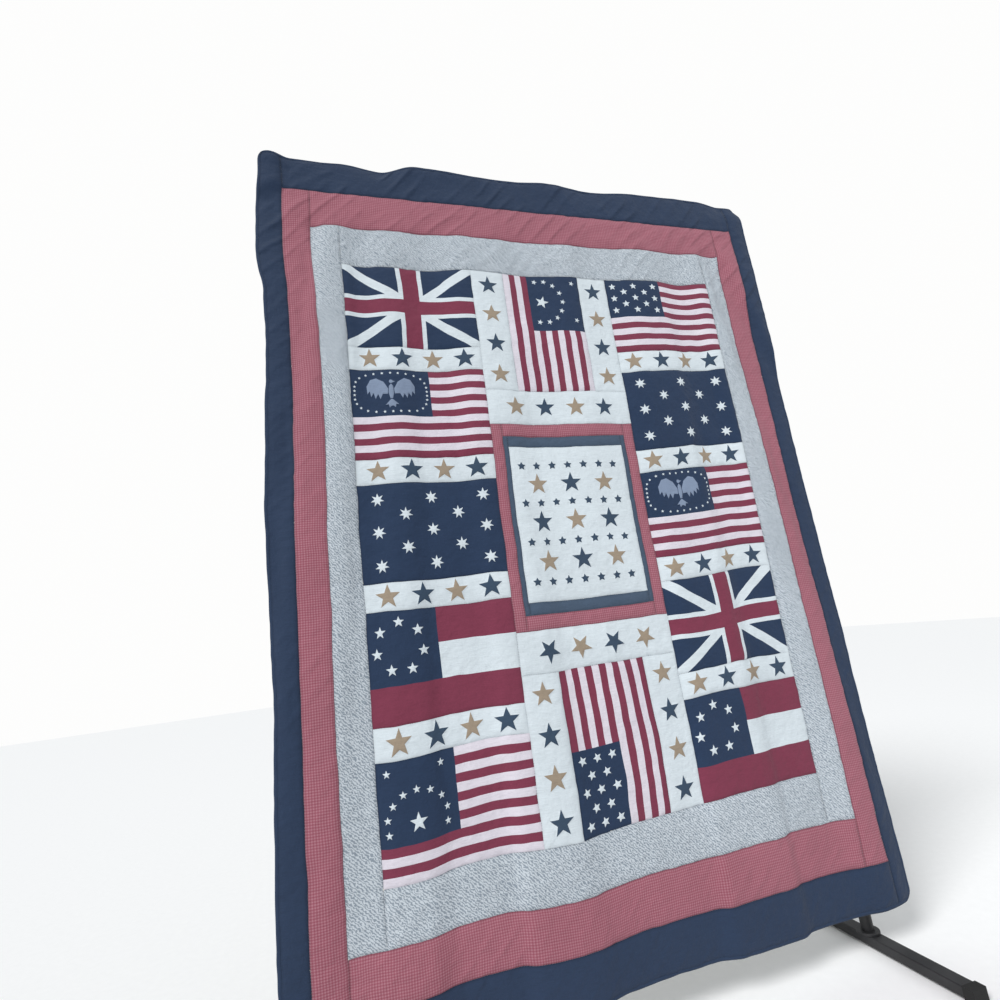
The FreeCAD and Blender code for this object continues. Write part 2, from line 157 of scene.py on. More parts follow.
RISE_TURN = ((CROSS_RIGHT[2] + CROSS_RIGHT[3]) / 2, rect_of("ring_flag_right")[3])
RISE_REACH = 0.25                # and is complete this much further to the right


# ---- small mathematics ----------------------------------------------------------------------
def smooth(a, b, value):
    """0 before a, 1 after b, and a smooth turn between them."""
    t = np.clip((value - a) / (b - a), 0.0, 1.0)
    return t * t * (3.0 - 2.0 * t)


def noise(u, v, seed):
    """Smooth random values from -1 to 1 over a lattice of unit cells."""
    cells = 64
    table = np.random.RandomState(seed).uniform(-1.0, 1.0, (cells, cells))
    iu, iv = np.floor(u).astype(int), np.floor(v).astype(int)
    fu, fv = u - iu, v - iv
    su, sv = fu * fu * (3 - 2 * fu), fv * fv * (3 - 2 * fv)
    a, b = table[iu % cells, iv % cells], table[(iu + 1) % cells, iv % cells]
    c, d = table[iu % cells, (iv + 1) % cells], table[(iu + 1) % cells, (iv + 1) % cells]
    return (a * (1 - su) + b * su) * (1 - sv) + (c * (1 - su) + d * su) * sv


def through(points, x):
    """A wave through (x, value) points, level at each of them."""
    xs, values = np.array(points).T
    i = np.clip(np.searchsorted(xs, x) - 1, 0, len(xs) - 2)
    return values[i] + (values[i + 1] - values[i]) * smooth(xs[i], xs[i + 1], x)


def bulge(x, z, reach):
    """1 in the middle of a soft round bulge, 0 away from it."""
    return np.exp(-(x / reach[0]) ** 2 - (z / reach[1]) ** 2)


def unit(vectors):
    return vectors / np.linalg.norm(vectors, axis=-1, keepdims=True)


def aside(ways):
    """Each way turned a quarter turn."""
    return np.stack([-ways[:, 1], ways[:, 0]], axis=1)


def lengths(points):
    """How far along a polyline each of its points lies."""
    steps = np.linalg.norm(np.diff(points, axis=0), axis=1)
    return np.concatenate([[0.0], np.cumsum(steps)])


def grid_of(xs, zs):
    """Every place of a grid, in rows of one x."""
    gx, gz = np.meshgrid(xs, zs, indexing="ij")
    return np.stack([gx.ravel(), gz.ravel()], axis=1)


def quads(ids):
    """The faces between neighbouring rows and columns of a grid of point numbers."""
    corners = (ids[:-1, :-1], ids[1:, :-1], ids[1:, 1:], ids[:-1, 1:])
    return np.stack(corners, axis=-1).reshape(-1, 4)


def closed(ids):
    """A grid of point numbers whose rows end where they start."""
    return np.pad(ids, ((0, 0), (0, 1)), mode="wrap")


def cubic(p, t):
    """Catmull-Rom value at t between p[1] and p[2]."""
    b = p[2] - p[0]
    c = 2 * p[0] - 5 * p[1] + 4 * p[2] - p[3]
    d = 3 * p[1] - p[0] - 3 * p[2] + p[3]
    return 0.5 * (2 * p[1] + b * t + c * t * t + d * t ** 3)


class Field:
    """Values on an even grid of x and z, read smoothly between them."""

    def __init__(self, xs, zs, values):
        self.origin = (xs[0], zs[0])
        self.step = (xs[1] - xs[0], zs[1] - zs[0])
        self.count = (len(xs), len(zs))
        self.values = np.pad(values, 2, mode="reflect", reflect_type="odd")

    def at(self, x, z):
        places = []
        for value, start, step, count in zip((x, z), self.origin, self.step, self.count):
            u = np.clip((value - start) / step, -0.99, count - 0.01)
            i = np.floor(u).astype(int)
            places.append((i, u - i))
        (i, s), (j, t) = places
        rows = [
            cubic([self.values[i + 1 + m, j + 1 + n] for m in range(4)], s) for n in range(4)
        ]
        return cubic(rows, t)


# ---- meshes ---------------------------------------------------------------------------------
def linked(name, data):
    """A new object in the scene."""
    thing = bpy.data.objects.new(name, data)
    bpy.context.scene.collection.objects.link(thing)
    return thing


def make_object(name, points, faces, materials, uv=None):
    """A smooth-shaded object; uv has the flat place of each point."""
    mesh = bpy.data.meshes.new(name)
    mesh.from_pydata(points.tolist(), [], faces.tolist())
    for material in materials:
        mesh.materials.append(material)
    mesh.polygons.foreach_set("use_smooth", np.ones(len(faces), bool))
    if uv is not None:
        corner = np.zeros(len(mesh.loops), np.int32)
        mesh.loops.foreach_get("vertex_index", corner)
        layer = mesh.uv_layers.new(name="flat")
        layer.data.foreach_set("uv", uv.astype(np.float32)[corner].ravel())
    mesh.update()
    return linked(name, mesh)


# ---- how the quilt hangs --------------------------------------------------------------------
def settled(points, faces, held):
    """The points of a sheet of cloth that is held at some of them and hangs from there."""
    cloth = make_object("drape", points, faces, [])
    cloth.vertex_groups.new(name="held").add(held.tolist(), 1.0, "REPLACE")
    fold = cloth.modifiers.new("fold", "CLOTH")
    for setting, value in CLOTH_SETTINGS.items():
        setattr(fold.settings, setting, value)
    scene = bpy.context.scene
    for number in range(1, SETTLE_FRAMES + 1):
        scene.frame_set(number)
    hanging = cloth.evaluated_get(bpy.context.evaluated_depsgraph_get()).data
    found = np.array([tuple(v.co) for v in hanging.vertices])
    scene.frame_set(1)
    mesh = cloth.data
    bpy.data.objects.remove(cloth)
    bpy.data.meshes.remove(mesh)
    return found


def drape():
    """How far the hung cloth stands back, from a sheet pinned along the rod and let hang."""
    nx = round((QUILT[1] - QUILT[0]) / DRAPE_STEP) + 1
    nz = round((QUILT[3] - QUILT[2]) / DRAPE_STEP) + 1
    xs, zs = np.linspace(*QUILT[:2], nx), np.linspace(*QUILT[2:], nz)
    x, z = grid_of(xs, zs).T
    start = 0.004 * noise(x / 0.13, z / 0.5, 3) + 0.002 * noise(x / 0.3, z / 0.22, 4)
    corners = np.arange(nx * nz).reshape(nx, nz)
    held = (abs(z - ROD_Z) < 0.7 * DRAPE_STEP) & (x > SLEEVE[0]) & (x < SLEEVE[1])
    sheet = np.stack([x, MID_Y + start, z], axis=1)
    back = settled(sheet, quads(corners), corners.ravel()[held])[:, 1].reshape(nx, nz) - MID_Y
    for _ in range(2):
        p = np.pad(back, 1, mode="edge")
        back = (4 * back + p[:-2, 1:-1] + p[2:, 1:-1] + p[1:-1, :-2] + p[1:-1, 2:]) / 8
    back -= back.mean()
    return Field(xs, zs, DRAPE_LIMIT * np.tanh(back / DRAPE_LIMIT))


FOLDS = drape()


def at_rod(x, z):
    """1 along the band that the rod and its cradles hold flat, 0 away from it."""
    across = smooth(0.18, 0.095, abs(z - ROD_Z))
    return across * smooth(CRADLE_X + 0.07, CRADLE_X + 0.02, abs(x))


def lift(x, z):
    """How far the free edge above the rod is raised or leans forward."""
    return through(TOP_EDGE, x) * smooth(ROD_Z, QUILT[3], z)


def back_of(x, z):
    """How far the hung quilt stands behind its middle plane; in front is negative."""
    return FOLDS.at(x, z) * (1 - at_rod(x, z)) - 0.5 * lift(x, z)


def shifted(x, z):
    """Where a flat place goes within the plane of the quilt."""
    sx, sz = np.zeros_like(x), np.zeros_like(x)
    for size, pitch, seed in WOBBLE:
        sx += size * noise(x / pitch, z / pitch, seed)
        sz += size * noise(x / pitch, z / pitch, seed + 20)
    out = np.clip(FIELD[0] - x, 0.0, None)
    outer = smooth(0.6 * BORDERS_W, BORDERS_W, out)
    seams = smooth(0.0, PRINT_W, out) * (1 - outer)
    sx += seams * through(LEFT_SEAMS, z) + outer * through(LEFT_EDGE, z)
    top = np.clip(z - FIELD[3], 0.0, None) / (QUILT[3] - FIELD[3])
    tilt = TILT[0] + (TILT[1] - TILT[0]) * (x - QUILT[0]) / (QUILT[1] - QUILT[0])
    sz += tilt * smooth(0.0, TILT_FADES[0], top) * (1 - smooth(TILT_FADES[1], 1.0, top))
    sz += 0.5 * lift(x, z)
    sz -= through(LEFT_DROP, z) * smooth(DROP_ENDS[1], DROP_ENDS[0], x)
    widths = RISE_WIDTHS[0] + (RISE_WIDTHS[1] - RISE_WIDTHS[0]) * smooth(*RISE_TURN, z)
    sz += through(RIGHT_RISE, z) * smooth(0.0, RISE_REACH, x - FIELD[1] + BLOCK_W * widths)
    sag = bulge(x - FOOT[0], z - FOOT[2], SAG_REACH)
    side = bulge(x - FOOT[1] - FOOT_SIDE[0], z - FOOT[2] - FOOT_SIDE[1], FOOT_REACH)
    sx += SAG_ASIDE * sag + WIDER_FOOT * side
    sz -= SAG * sag
    edge_x = np.minimum(x - QUILT[0], QUILT[1] - x) / CORNER_REACH
    edge_z = np.minimum(z - QUILT[2], QUILT[3] - z) / CORNER_REACH
    round_off = CORNER * np.clip(1 - edge_x, 0, 1) ** 2 * np.clip(1 - edge_z, 0, 1) ** 2
    return x + sx - round_off * np.sign(x - MID_X), z + sz - round_off * np.sign(z - MID_Z)


def hung(flat, out):
    """Points of the hung quilt at flat places, standing out towards the front."""
    x, z = flat.T
    r = SLOPE_REACH
    slope_x = (back_of(x + r, z) - back_of(x - r, z)) / (2 * r)
    slope_z = (back_of(x, z + r) - back_of(x, z - r)) / (2 * r)
    normal = unit(np.stack([slope_x, -np.ones_like(x), slope_z], axis=1))
    px, pz = shifted(x, z)
    return np.stack([px, MID_Y + back_of(x, z), pz], axis=1) + normal * np.reshape(out, (-1, 1))


def puckers(flat, near_x, near_z):
    """Small creases that run away from the seams."""
    x, z = flat.T
    beside = noise(x / PUCKER_LENGTH, z / PUCKER_PITCH, 5)
    above = noise(x / PUCKER_PITCH, z / PUCKER_LENGTH, 6)
    return PUCKER * (beside * near_x + above * near_z * (1 - near_x))


def slanting_folds(x, z):
    """Long creases that run up to the right, deepest in the upper borders."""
    share = 0.25 + 0.75 * smooth(-0.02, 0.03, z - FIELD[3])
    phase = (z - 0.8 * x) / FOLD_PITCH + 0.9 * noise(x / 0.11, z / 0.11, 8)
    some = smooth(-0.25, 0.45, noise(x / 0.17, z / 0.17, 9))
    return FOLD * share * some * (0.5 + 0.5 * np.sin(2 * math.pi * phase)) ** 2


def from_seams(flat, rect):
    """How far flat places are from the upright and from the level seams round a patch."""
    low, high = np.array(rect[::2]), np.array(rect[1::2])
    return np.clip(np.minimum(flat - low, high - flat), 0, None).T


def seam_depth(flat, rect):
    """From 0 to 1, how close flat places are to the seams round the patch that fills rect; this
    sets the painted shade along the seams.
    """
    return np.exp(-from_seams(flat, rect).min(axis=0) / PAINTED_SHADE_REACH)


def relief(flat, rect):
    """How far the top swells at flat places of the patch that fills rect."""
    x, z = flat.T
    dx, dz = from_seams(flat, rect)
    swell = 0.0
    for share, reach in ((0.55, SEAM_REACH), (0.45, WIDE_REACH)):
        swell = swell + share * (1 - np.exp(-dx / reach)) * (1 - np.exp(-dz / reach))
    creases = puckers(flat, np.exp(-dx / PUCKER_REACH), np.exp(-dz / PUCKER_REACH))
    p = UNDULATION_PITCH
    waves = UNDULATION * noise((x + 0.6 * z) / p, (z - 0.6 * x) / (1.8 * p), 7)
    return PILLOW * swell + creases + (waves + slanting_folds(x, z)) * swell


def shell(name, flat, triangles, front, back, materials, seam=0.0, slots=0):
    """A closed piece of cloth between two offsets of the hung quilt. Seam says from 0 to 1 how
    close each flat place is to a stitched seam, and slots has each triangle's material."""
    count = len(flat)
    edges = np.concatenate([triangles[:, [0, 1]], triangles[:, [1, 2]], triangles[:, [2, 0]]])
    _, first, uses = np.unique(
        np.sort(edges, axis=1), axis=0, return_index=True, return_counts=True
    )
    rim = first[uses == 1]
    a, b = edges[rim].T
    walls = [np.stack([b, a, a + count], axis=1), np.stack([b, a + count, b + count], axis=1)]
    faces = np.concatenate([triangles, triangles[:, ::-1] + count, *walls])
    points = np.concatenate([hung(flat, front), hung(flat, back)])
    made = make_object(name, points, faces, materials, np.tile(flat, (2, 1)))
    mesh = made.data
    slots = np.broadcast_to(slots, len(triangles)).astype(np.int32)
    beside_rim = slots[rim % len(triangles)]
    slots = np.concatenate([slots, slots, beside_rim, beside_rim])
    mesh.polygons.foreach_set("material_index", slots)
    # the seam attribute sets how much painted shade the cloth's material lays along the seams
    depth = mesh.attributes.new("seam", "FLOAT", "POINT")
    depth.data.foreach_set("value", np.resize(seam, 2 * count).astype(np.float32))
    side = np.zeros(2 * count, int)
    side[a] = 1
    side[a + count] = 2
    ends = np.zeros(2 * len(mesh.edges), np.int32)
    mesh.edges.foreach_get("vertices", ends)
    start, end = side[ends.reshape(-1, 2)].T
    sharp = mesh.attributes.new("sharp_edge", "BOOLEAN", "EDGE")
    sharp.data.foreach_set("value", (start > 0) & (start == end))
    mesh.update()
    return made


def between(start, end, step):
    """Places from start to end, closer together beside both ends."""
    margins = [m for m in EDGE_STEPS if m < 0.4 * (end - start)]
    low, high = start + margins[-1], end - margins[-1]
    inner = np.linspace(low, high, max(1, math.ceil((high - low) / step)) + 1)
    outer = np.array(margins[:-1])
    return np.concatenate([start + outer, inner, end - outer[::-1]])


def divided(outline, step):
    """A closed outline with points added so that no run is longer than step."""
    points = []
    for a, b in zip(outline, outline[1:] + outline[:1]):
        count = max(1, math.ceil(math.dist(a, b) / step))
        for k in range(count):
            t = k / count
            points.append((a[0] + (b[0] - a[0]) * t, a[1] + (b[1] - a[1]) * t))
    return points


def inside(outline, flat):
    """Which flat places lie in a closed outline."""
    x, z = flat.T
    found = np.zeros(len(x), bool)
    for (ax, az), (bx, bz) in zip(outline, outline[1:] + outline[:1]):
        if az != bz:
            crosses = (az > z) != (bz > z)
            found ^= crosses & (x < ax + (z - az) * (bx - ax) / (bz - az))
    return found


def beside(points, starts, ends):
    """The distance from each point to the nearest of the straight runs."""
    best = np.full(len(points), 1e9)
    for a, b in zip(starts, ends):
        run = b - a
        t = np.clip(((points - a) @ run) / max(run @ run, 1e-12), 0, 1)
        best = np.minimum(best, np.linalg.norm(points - a - t[:, None] * run, axis=1))
    return best


# ---- patchwork outlines, in a block's own places: u from its left, v down from its top ------
# A pattern gives the ground, the pieced shapes and the raised shapes, each with its cloth.
STRIPES = 13


def star(u, v, size, tips=5, depth=0.41):
    """A star of the given width, with one tip up."""
    points = []
    for k in range(2 * tips):
        r = size / 2 * (depth if k % 2 else 1.0)
        angle = math.pi * k / tips
        points.append((u + r * math.sin(angle), v - r * math.cos(angle)))
    return points


def oblong(u0, v0, u1, v1):
    return [(u0, v0), (u1, v0), (u1, v1), (u0, v1)]


def striped(w, h, first, cu, cv, raised):
    """Thirteen stripes round a navy canton; first is the place of the first red stripe."""
    shapes = [
        ("red", oblong(0, k * h / STRIPES, w, (k + 1) * h / STRIPES))
        for k in range(first, STRIPES, 2)
    ]
    return "stripe_white", shapes + [("navy", oblong(0, 0, cu, cv))], raised


def cross_flag(w, h):
    """White-edged red cross over a white saltire, on navy."""
    shapes = []
    half = 0.052 * h * math.hypot(w, h) / w
    lean = half * w / h
    for flip in (False, True):
        band = [(0, 0), (lean, 0), (w, h - half), (w, h), (w - lean, h), (0, half)]
        shapes.append(("white", [(u, h - v) if flip else (u, v) for u, v in band]))
    for name, upright, level in (("white", 0.074, 0.069), ("red", 0.049, 0.043)):
        shapes.append((name, oblong((w - upright) / 2, 0, (w + upright) / 2, h)))
        shapes.append((name, oblong(0, (h - level) / 2, w, (h + level) / 2)))
    return "navy", shapes, []


def bird(u, v, span):
    """The separate shapes of a plain bird with raised wings, of no particular kind."""
    wing = [
        (0.11, -0.10), (0.28, -0.42), (0.55, -0.60), (0.80, -0.53), (0.97, -0.24), (0.95, 0.10),
        (0.85, -0.03), (0.80, 0.22), (0.69, 0.06), (0.62, 0.31), (0.51, 0.11), (0.43, 0.33),
        (0.33, 0.12), (0.13, 0.14),
    ]
    body = [(0.00, -0.32), (0.08, -0.22), (0.10, 0.08), (0.05, 0.34)]
    tail = [(0.03, 0.38), (0.27, 0.62), (0.15, 0.60), (0.12, 0.73), (0.03, 0.66)]
    head = [
        (0.08 * math.cos(t), -0.42 + 0.08 * math.sin(t)) for t in np.linspace(0.6, 5.9, 9)
    ] + [(0.17, -0.43)]
    mirrored = [(-a, b) for a, b in wing[::-1]]
    parts = [wing, mirrored, body + [(-a, b) for a, b in body[:0:-1]]]
    parts += [tail + [(-a, b) for a, b in tail[::-1]], head]
    return [[(u + 0.5 * span * a, v + 0.5 * span * b) for a, b in part] for part in parts]


def bird_flag(w, h):
    cu, cv = 0.585 * w, 7 / STRIPES * h
    raised = [("pale_blue", part) for part in bird(cu / 2, 0.48 * cv, 0.62 * cu)]
    stars, squareness = 30, 3.2
    for k in range(stars):
        angle = 2 * math.pi * (k + 0.5) / stars
        c, s = math.cos(angle), math.sin(angle)
        reach = (abs(c) ** squareness + abs(s) ** squareness) ** (-1 / squareness)
        u, v = cu / 2 + 0.455 * cu * reach * c, cv / 2 + 0.415 * cv * reach * s
        raised.append(("white", star(u, v, 0.0085, depth=0.5)))
    return striped(w, h, 0, cu, cv, raised)


def star_rows(w, h, size, tips, depth, margin_u, margin_v, span_u):
    """Thirteen stars in rows of three and two."""
    found = []
    for row, count in enumerate((3, 2, 3, 2, 3)):
        for k in range(count):
            share = (k + (3 - count) / 2) / 2
            v = margin_v * h + (1 - 2 * margin_v) * h * row / 4
            found.append(("white", star((margin_u + span_u * share) * w, v, size, tips, depth)))
    return found


def star_block(w, h):
    return "navy", [], star_rows(w, h, 0.037, 7, 0.44, 0.135, 0.165, 0.755)


def ring_flag(w, h):
    cu, cv = 0.465 * w, 2 / 3 * h
    shapes = [("red", oblong(0, 0, w, h / 3)), ("red", oblong(0, 2 * h / 3, w, h))]
    shapes.append(("navy", oblong(0, 0, cu, cv)))
    raised = []
    for k in range(7):
        angle = 2 * math.pi * k / 7
        u, v = 0.45 * cu + 0.335 * cv * math.sin(angle), (0.5 - 0.335 * math.cos(angle)) * cv
        raised.append(("white", star(u, v, 0.029)))
    return "white", shapes, raised


def arch_flag(w, h):
    """Stripes, and an arch of stars over one plain larger star."""
    cu, cv = 0.495 * w, 9 / STRIPES * h
    arch = np.radians(np.linspace(-104, 104, 9))
    places = [(0.48 + 0.375 * math.sin(a), 0.76 - 0.39 * math.cos(a), 0.019) for a in arch]
    places += [(0.136, 0.14, 0.019), (0.81, 0.14, 0.019), (0.48, 0.76, 0.044)]
    raised = [("white", star(u * cu, v * cv, size)) for u, v, size in places]
    return striped(w, h, 1, cu, cv, raised)


def stripes_flag(w, h):
    cu, cv = 0.50 * w, 7 / STRIPES * h
    return striped(w, h, 0, cu, cv, star_rows(cu, cv, 0.025, 5, 0.46, 0.125, 0.185, 0.75))


def star_strip(colours, spread=1.0, middle=0.5):
    """A white strip with evenly spaced stars of the given colours along its longer side."""
    def outlines(w, h):
        raised = []
        for k, name in enumerate(colours):
            share = middle + spread * ((k + 0.5) / len(colours) - 0.5)
            u, v = (share * w, h / 2) if w > h else (w / 2, share * h)
            raised.append((name, star(u, v, 0.0645)))
        return "white", [], raised
    return outlines


def star_panel(w, h):
    """Rows of three large stars between rows of seven small ones."""
    raised = []
    for row in range(4):
        v = (0.125 + 0.25 * row) * h + 0.002
        for k in range(7):
            raised.append(("star_navy", star((0.085 + 0.80 * k / 6) * w, v, 0.026, depth=0.52)))
    for row in range(3):
        v = (0.25 + 0.25 * row) * h + 0.002
        for k in range(3):
            name = ("tan", "star_navy")[(row + k) % 2]
            raised.append((name, star((0.21 + 0.285 * k) * w, v, 0.066)))
    return "white", [], raised


def plain(name):
    return lambda w, h: (name, [], [])


# ---- procedural materials -------------------------------------------------------------------
THREAD = 0.00055                 # spacing of the threads in the weave
CREASE_PITCH = 0.045             # between the slanting creases of the borders
CHECK_PITCH = 0.0059             # of the gingham
PRINT_PITCH = 0.0040
COTTON = {"Sheen_Weight": 0.08, "Sheen_Roughness": 0.5, "Specular_IOR_Level": 0.2}


def colour(*display):
    """Linear colour of an 8-bit display colour."""
    shares = [c / 255 for c in display]
    return (*(s / 12.92 if s <= 0.04045 else ((s + 0.055) / 1.055) ** 2.4 for s in shares), 1.0)


def dimmed(shade, share):
    return (*(share * c for c in shade[:3]), 1.0)


class Material:
    """A node material around one Principled shader, with short helpers."""

    def __init__(self, name, **uniform):
        self.made = bpy.data.materials.new(name)
        self.made.use_nodes = True
        self.tree = self.made.node_tree
        self.shader = self.tree.nodes["Principled BSDF"]
        self.finish(**uniform)

    def node(self, kind, settings=None, **inputs):
        made = self.tree.nodes.new("ShaderNode" + kind)
        for key, value in (settings or {}).items():
            setattr(made, key, value)
        for key, value in inputs.items():
            self.put(made.inputs[key.replace("_", " ")], value)
        return made

    def put(self, socket, value):
        if isinstance(value, bpy.types.NodeSocket):
            self.tree.links.new(value, socket)
        else:
            socket.default_value = value

    def finish(self, **sockets):
        for socket, value in sockets.items():
            self.put(self.shader.inputs[socket.replace("_", " ")], value)
        return self.made

    def math(self, operation, *values):
        made = self.node("Math", {"operation": operation})
        for socket, value in zip(made.inputs, values):
            self.put(socket, value)
        return made.outputs[0]

    def times(self, a, b):
        return self.math("MULTIPLY", a, b)

    def flat_places(self):
        """The flat places of the cloth in metres, together and one by one."""
        uv = self.node("UVMap", {"uv_map": "flat"}).outputs["UV"]
        split = self.node("SeparateXYZ", Vector=uv)
        return uv, split.outputs["X"], split.outputs["Y"]

    def object_places(self):
        return self.node("TexCoord").outputs["Object"]

    def stretched(self, places, *scale):
        return self.node("Mapping", Vector=places, Scale=scale).outputs[0]

    def noise(self, places, scale, detail=2.0, rough=0.5):
        made = self.node("TexNoise", Vector=places, Scale=scale, Detail=detail, Roughness=rough)
        return made.outputs["Fac"]

    def ramp(self, value, *stops, step=False):
        """A ramp through (place, shade); a shade is a colour or, for a grey, one number."""
        made = self.node("ValToRGB", Fac=value)
        ramp = made.color_ramp
        ramp.interpolation = "CONSTANT" if step else "LINEAR"
        while len(ramp.elements) < len(stops):
            ramp.elements.new(0.5)
        for element, (place, shade) in zip(ramp.elements, stops):
            element.position = place
            element.color = shade if np.ndim(shade) else (shade, shade, shade, 1.0)
        return made.outputs["Color"]

    def darkened(self, a, b):
        """The product of two colours."""
        made = self.node("Mix", {"data_type": "RGBA", "blend_type": "MULTIPLY"})
        for k, value in ((0, 1.0), (6, a), (7, b)):
            self.put(made.inputs[k], value)
        return made.outputs[2]

    def between(self, value, low, high):
        return self.node("MapRange", Value=value, To_Min=low, To_Max=high).outputs[0]

    def bump(self, height, strength, distance, **under):
        made = self.node("Bump", Height=height, Strength=strength, Distance=distance, **under)
        return made.outputs["Normal"]


def finish_cloth(cloth, shade, seam_shade, creases=0.0):
    """Adds fading, slubs, weave, wrinkles, creases and painted shade along the seams to a cloth.
    """
    places, u, v = cloth.flat_places()
    fibre = cloth.noise(places, 900.0, 2.0, 0.7)
    seam = cloth.node("Attribute", {"attribute_name": "seam"}).outputs["Fac"]
    for value, first, last in (
        (cloth.noise(places, 5.0, 3.0), (0.25, 0.90), (0.75, 1.0)),
        (fibre, (0.3, 0.88), (0.7, 1.0)),
        # painted shade: the colour is darkened along the seams, down to the given share at a seam
        (seam, (0.1, 1.0), (1.0, seam_shade)),
    ):
        shade = cloth.darkened(shade, cloth.ramp(value, first, last))
    normal = cloth.bump(cloth.noise(places, 38.0, 3.0, 0.55), 0.9, 0.0048)
    if creases:
        folds = cloth.node(
            "TexWave", {"bands_direction": "DIAGONAL", "wave_profile": "SIN"},
            Vector=cloth.stretched(places, -1.0, 1.0, 1.0), Scale=0.444 / CREASE_PITCH,
            Distortion=2.6, Detail=1.0, Detail_Scale=0.5,
        )
        gathered = cloth.math("POWER", folds.outputs["Fac"], 3.0)
        some = cloth.ramp(cloth.noise(places, 7.0, 1.0), (0.4, 0.0), (0.65, 1.0))
        upper = cloth.node(
            "MapRange", Value=v, From_Min=FIELD[3] - 0.1, From_Max=FIELD[3], To_Min=0.3,
        )
        height = cloth.times(gathered, cloth.times(some, upper.outputs[0]))
        normal = cloth.bump(height, 0.8, creases, Normal=normal)
    along, across = (cloth.math("SINE", cloth.times(a, math.pi / THREAD)) for a in (u, v))
    normal = cloth.bump(cloth.times(along, across), 0.35, 0.00012, Normal=normal)
    rough = cloth.between(fibre, 0.78, 0.96)
    return cloth.finish(Base_Color=shade, Normal=normal, Roughness=rough)


def cotton(name, display, seam_shade=0.8, creases=0.0):
    """Plain quilting cotton."""
    cloth = Material(name + "_cotton", **COTTON)
    shade = colour(*display)
    slub = cloth.stretched(cloth.flat_places()[0], 30.0, 1400.0, 1.0)
    ground = cloth.ramp(cloth.noise(slub, 1.0), (0.35, dimmed(shade, 0.86)), (0.6, shade))
    # the cloth gets painted shade along its seams, as deep as the given share
    return finish_cloth(cloth, ground, seam_shade, creases)


def gingham(name, deep, middle, light):
    """Woven check: dark where two dark threads cross, light where two light ones do."""
    cloth = Material(name, **COTTON)
    bars = []
    for a in cloth.flat_places()[1:]:
        share = cloth.math("FRACT", cloth.math("DIVIDE", a, CHECK_PITCH))
        bars.append(cloth.math("LESS_THAN", share, 0.5))
    depth = cloth.times(cloth.math("ADD", *bars), 0.5)
    shade = cloth.ramp(depth, (0.0, light), (0.25, middle), (0.75, deep), step=True)
    # painted shade at the seams down to 0.66 of the colour, and a crease depth of 0.005
    return finish_cloth(cloth, shade, 0.66, 0.005)


def squiggle_print(name, ground, ink):
    """Small dark squiggles printed all over a pale ground, most of them on the slant."""
    cloth = Material(name, **COTTON)
    places = cloth.flat_places()[0]
    lines = cloth.node(
        "TexWave", {"bands_direction": "DIAGONAL"}, Vector=places, Scale=0.314 / PRINT_PITCH,
        Distortion=6.5, Detail=1.0, Detail_Scale=1.6,
    )
    cover = cloth.times(lines.outputs["Fac"], 0.45)
    for scale, share in ((260.0, 0.55), (150.0, 0.65)):
        cover = cloth.math("MULTIPLY_ADD", cloth.noise(places, scale, 1.0), share, cover)
    # painted shade at the seams down to 0.75 of the colour, and a crease depth of 0.003
    return finish_cloth(cloth, cloth.ramp(cover, (0.68, ink), (0.90, ground)), 0.75, 0.003)


def fibres(name, shade, grain, dark, bump, **uniform):
    """Thread or wadding, by the scale, detail and roughness of its fibres."""
    stuff = Material(name, **uniform)
    twist = stuff.noise(stuff.object_places(), *grain)
    tones = stuff.ramp(twist, (dark[0], dimmed(shade, dark[1])), (1 - dark[0], shade))
    return stuff.finish(Base_Color=tones, Normal=stuff.bump(twist, *bump))


def thread(name, shade):
    return fibres(
        name, shade, (2500.0, 1.0), (0.35, 0.75), (0.4, 0.0002),
        Roughness=0.7, Sheen_Weight=0.2, Specular_IOR_Level=0.35,
    )


def beech(name):
    """Lacquered beech: fine flecks and long grain along X."""
    wood = Material(name, Coat_Weight=0.25, Coat_Roughness=0.25, Specular_IOR_Level=0.4)
    places = wood.object_places()
    grain = wood.noise(wood.stretched(places, 2.2, 60.0, 60.0), 1.6, 5.0, 0.6)
    flecks = wood.noise(wood.stretched(places, 160.0, 1500.0, 1500.0), 1.0, 1.0)
    tones = wood.ramp(
        grain, (0.25, colour(178, 132, 88)), (0.5, colour(208, 166, 120)),
        (0.75, colour(224, 188, 146)),
    )
    fleck = wood.ramp(flecks, (0.62, 1.0), (0.74, colour(176, 140, 108)))
    return wood.finish(
        Base_Color=wood.darkened(tones, fleck), Roughness=wood.between(grain, 0.34, 0.52),
        Normal=wood.bump(grain, 0.15, 0.0004),
    )


def metal(name, shade, roughness, brushed):
    """Bright metal with faint smudges and, where brushed, fine turned lines."""
    bright = Material(name, Metallic=1.0)
    places = bright.object_places()
    smudge = bright.noise(places, 14.0, 4.0, 0.6)
    lines = bright.noise(bright.stretched(places, 1800.0, 60.0, 60.0), 1.0)
    return bright.finish(
        Base_Color=bright.ramp(smudge, (0.3, dimmed(shade, 0.88)), (0.7, shade)),
        Roughness=bright.between(smudge, *roughness), Normal=bright.bump(lines, brushed, 0.0001),
    )


def coating(name, shade, roughness, grain, depth):
    """Powder coat, moulded plastic or rubber, by the size and depth of its grain."""
    coat = Material(name, Specular_IOR_Level=0.45)
    places = coat.object_places()
    pebble = coat.noise(places, grain, 3.0, 0.6)
    dusty = (*(min(1.0, 1.5 * c + 0.012) for c in shade[:3]), 1.0)
    return coat.finish(
        Base_Color=coat.ramp(coat.noise(places, 9.0, 4.0, 0.6), (0.4, shade), (0.85, dusty)),
        Roughness=coat.between(pebble, *roughness), Normal=coat.bump(pebble, 0.5, depth),
    )


